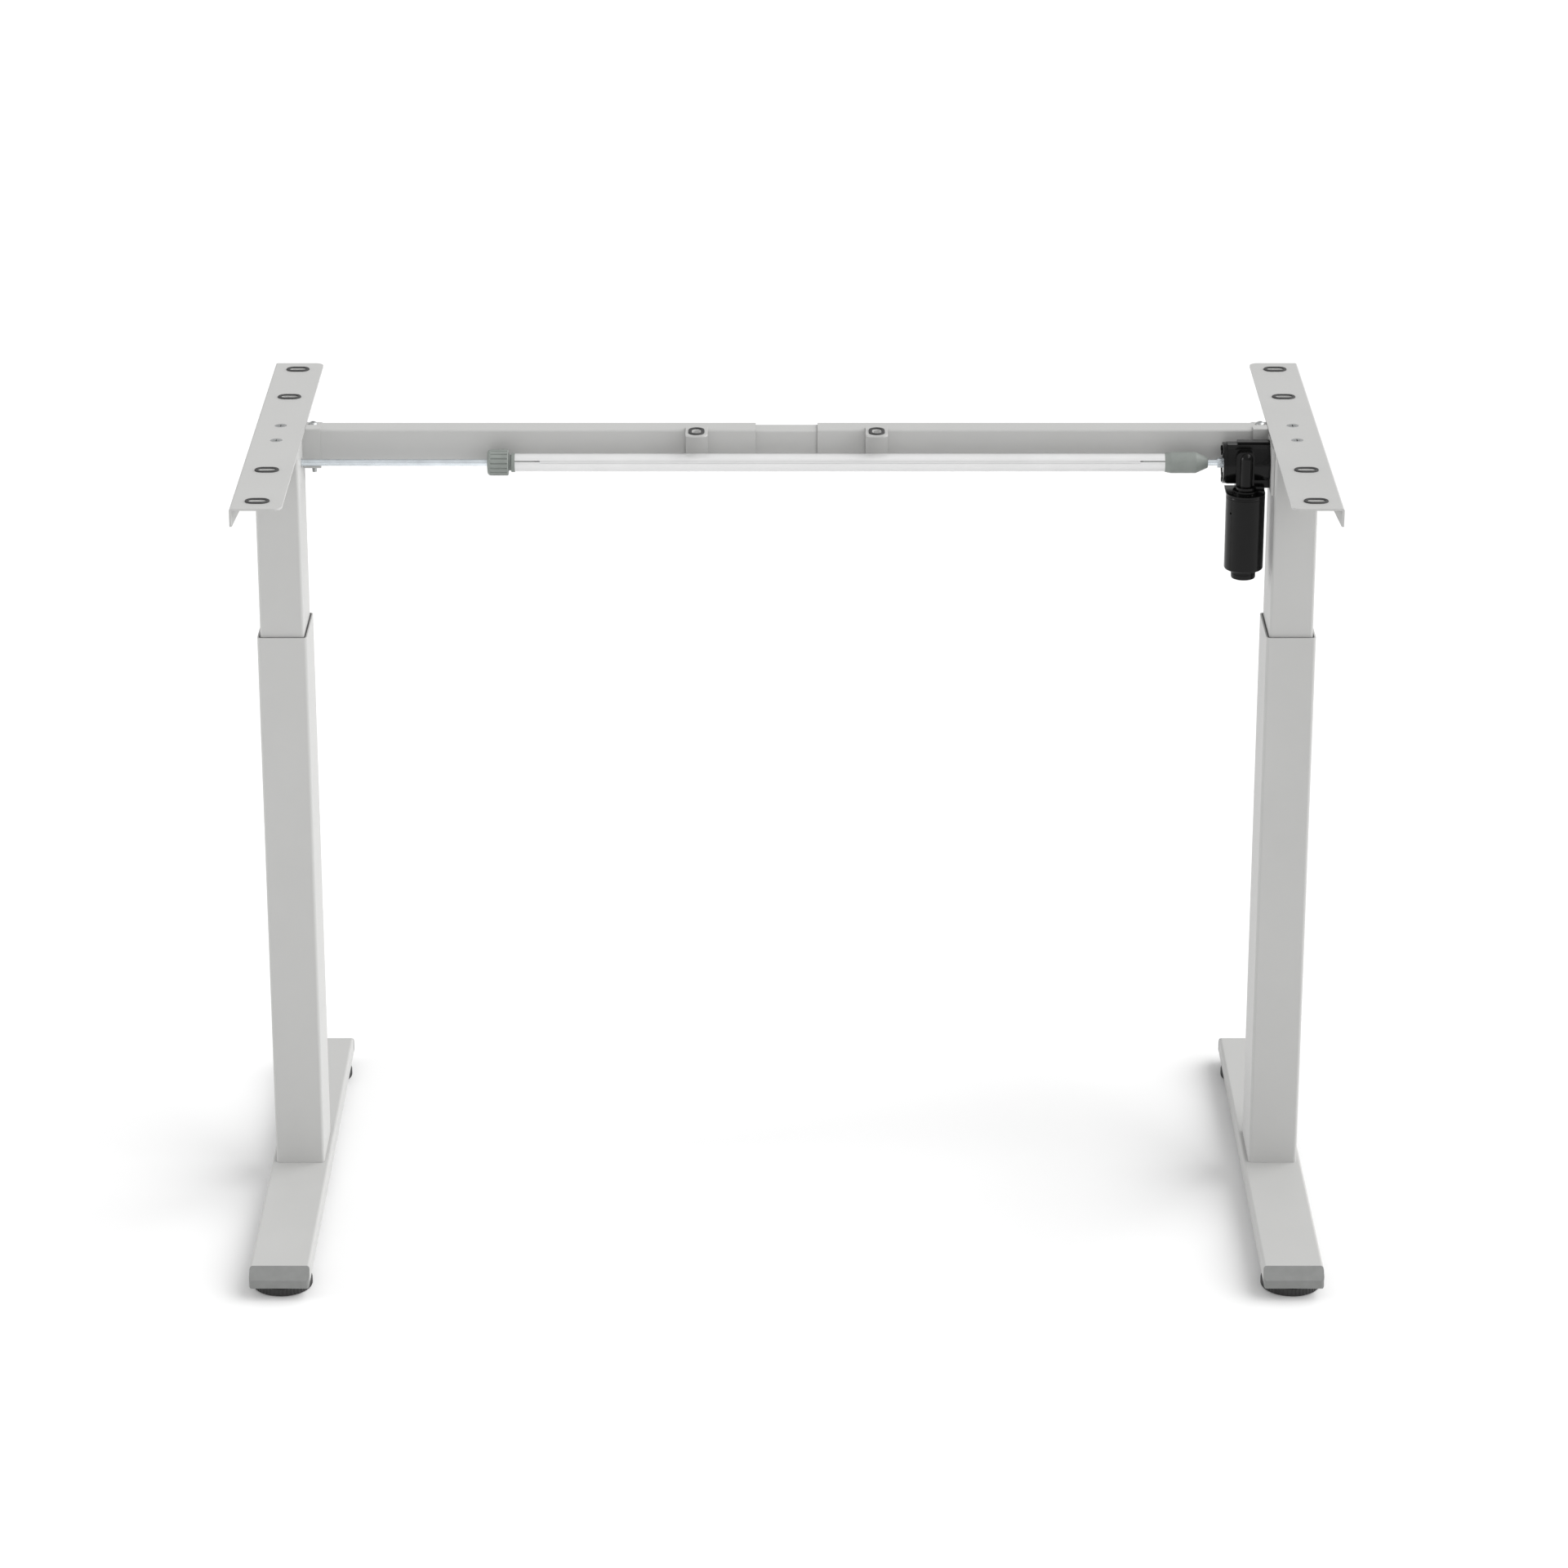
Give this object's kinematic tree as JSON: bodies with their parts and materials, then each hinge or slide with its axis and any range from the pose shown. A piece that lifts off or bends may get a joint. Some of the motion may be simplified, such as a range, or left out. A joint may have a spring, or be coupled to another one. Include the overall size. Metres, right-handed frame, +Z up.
{
  "type": "height adjustable desk frame",
  "caption": "Electric sit-stand desk frame with telescopic legs on long feet, a width-adjustable beam and a side motor that turns the leg spindles through a cross shaft.",
  "frame": {"origin": "on the floor, midway between the two feet", "axes": "+X along the beam to the motor side, +Y to the back, where the beam is, +Z up"},
  "size_m": [1.074, 0.594, 0.8162],
  "materials": {
    "powder_coat": "light grey fine-textured powder coat on steel",
    "cap_plastic": "mid grey moulded plastic",
    "pad_plastic": "black sliding plastic",
    "glide_plastic": "black ribbed plastic",
    "grommet_rubber": "dark grey rubber",
    "zinc_steel": "bright zinc plating",
    "screw_steel": "dull zinc plating",
    "spindle_steel": "rolled steel thread, greased",
    "bearing_steel": "ground bearing steel",
    "gear_steel": "cut steel gear, greased",
    "nut_plastic": "natural acetal",
    "cast_alloy": "die cast, as cast",
    "satin_aluminium": "satin anodised tube",
    "shaft_plastic": "grey-green glass filled nylon",
    "motor_black": "semi-gloss black",
    "armature_steel": "laminated steel armature"
  },
  "bodies": {
    "left_lower": {"left_foot": "powder_coat", "left_foot_caps": "cap_plastic", "left_outer_tube": "powder_coat", "left_guide_sleeve": "pad_plastic", "left_foot_screws": "zinc_steel", "left_push_tube": "zinc_steel", "left_spindle_nut": "nut_plastic"},
    "left_upper": {"left_inner_tube": "powder_coat", "left_side_bracket": "powder_coat", "left_grommets": "grommet_rubber", "left_bracket_screws": "screw_steel", "left_beam_bracket": "powder_coat", "left_beam_bolt": "screw_steel", "left_beam_tube": "powder_coat", "left_ear": "powder_coat", "left_gear_housing": "cast_alloy", "left_bearing": "bearing_steel"},
    "beam_centre": {"beam_centre_tube": "powder_coat"},
    "right_upper": {"right_inner_tube": "powder_coat", "right_side_bracket": "powder_coat", "right_grommets": "grommet_rubber", "right_bracket_screws": "screw_steel", "right_beam_bracket": "powder_coat", "right_beam_bolt": "screw_steel", "right_beam_tube": "powder_coat", "right_ear": "powder_coat", "right_gear_housing": "cast_alloy", "right_bearing": "bearing_steel", "gearbox_housing": "motor_black", "gearbox_cap": "motor_black", "gearbox_screws": "motor_black", "motor_can": "motor_black", "motor_end_bush": "motor_black", "motor_plate": "powder_coat"},
    "right_lower": {"right_foot": "powder_coat", "right_foot_caps": "cap_plastic", "right_outer_tube": "powder_coat", "right_guide_sleeve": "pad_plastic", "right_foot_screws": "zinc_steel", "right_push_tube": "zinc_steel", "right_spindle_nut": "nut_plastic"},
    "left_screw": {"left_spindle": "spindle_steel", "left_bevel_gear": "gear_steel"},
    "right_screw": {"right_spindle": "spindle_steel", "right_bevel_gear": "gear_steel"},
    "hex_drive": {"hex_rod": "zinc_steel", "left_pinion": "gear_steel"},
    "cross_shaft": {"shaft_tube": "satin_aluminium", "shaft_collet": "shaft_plastic", "shaft_coupler": "shaft_plastic", "output_shaft": "zinc_steel", "worm_wheel": "nut_plastic", "right_pinion": "gear_steel"},
    "clamp": {"clamp_nut": "shaft_plastic"},
    "rotor": {"motor_armature": "armature_steel", "motor_worm": "gear_steel"},
    "left_front_foot_glide": {"left_front_glide": "glide_plastic"},
    "left_rear_foot_glide": {"left_rear_glide": "glide_plastic"},
    "right_front_foot_glide": {"right_front_glide": "glide_plastic"},
    "right_rear_foot_glide": {"right_rear_glide": "glide_plastic"}
  },
  "joints": [
    {"name": "lift", "type": "slide", "parent": "left_lower", "child": "left_upper", "axis": [0, 0, 1], "range_m": [-0.11, 0.36]},
    {"name": "left_width", "type": "slide", "parent": "left_upper", "child": "beam_centre", "axis": [1, 0, 0], "range_m": [-0.03, 0.15]},
    {"name": "right_width", "type": "slide", "parent": "beam_centre", "child": "right_upper", "axis": [1, 0, 0], "range_m": [-0.03, 0.15]},
    {"name": "right_lift", "type": "slide", "parent": "right_upper", "child": "right_lower", "axis": [0, 0, -1], "range_m": [-0.11, 0.36]},
    {"name": "left_spindle_turn", "type": "hinge", "parent": "left_upper", "child": "left_screw", "pos_m": [-0.507, 0, 0.45], "axis": [0, 0, 1], "continuous": true},
    {"name": "right_spindle_turn", "type": "hinge", "parent": "right_upper", "child": "right_screw", "pos_m": [0.507, 0, 0.45], "axis": [0, 0, 1], "continuous": true},
    {"name": "hex_rod_turn", "type": "hinge", "parent": "left_upper", "child": "hex_drive", "pos_m": [-0.2, 0, 0.784], "axis": [1, 0, 0], "continuous": true},
    {"name": "shaft_turn", "type": "hinge", "parent": "right_upper", "child": "cross_shaft", "pos_m": [0.05, 0, 0.784], "axis": [1, 0, 0], "continuous": true},
    {"name": "motor_turn", "type": "hinge", "parent": "right_upper", "child": "rotor", "pos_m": [0.458, -0.0205, 0.72], "axis": [0, 0, 1], "continuous": true},
    {"name": "clamp_nut_turn", "type": "hinge", "parent": "cross_shaft", "child": "clamp", "pos_m": [-0.2885, 0, 0.784], "axis": [1, 0, 0], "range_deg": [0, 360]},
    {"name": "left_front_glide_screw", "type": "slide", "parent": "left_lower", "child": "left_front_foot_glide", "axis": [0, 0, -1], "range_m": [0, 0.01]},
    {"name": "left_rear_glide_screw", "type": "slide", "parent": "left_lower", "child": "left_rear_foot_glide", "axis": [0, 0, -1], "range_m": [0, 0.01]},
    {"name": "right_front_glide_screw", "type": "slide", "parent": "right_lower", "child": "right_front_foot_glide", "axis": [0, 0, -1], "range_m": [0, 0.01]},
    {"name": "right_rear_glide_screw", "type": "slide", "parent": "right_lower", "child": "right_rear_foot_glide", "axis": [0, 0, -1], "range_m": [0, 0.01]}
  ],
  "couplings": [
    {"joint": "right_lift", "follows": "lift", "ratio": 1},
    {"joint": "left_spindle_turn", "follows": "lift", "rad_per_m": 628.32},
    {"joint": "right_spindle_turn", "follows": "lift", "rad_per_m": -628.32},
    {"joint": "hex_rod_turn", "follows": "lift", "rad_per_m": 628.32},
    {"joint": "shaft_turn", "follows": "lift", "rad_per_m": 628.32},
    {"joint": "motor_turn", "follows": "lift", "rad_per_m": 13823}
  ]
}
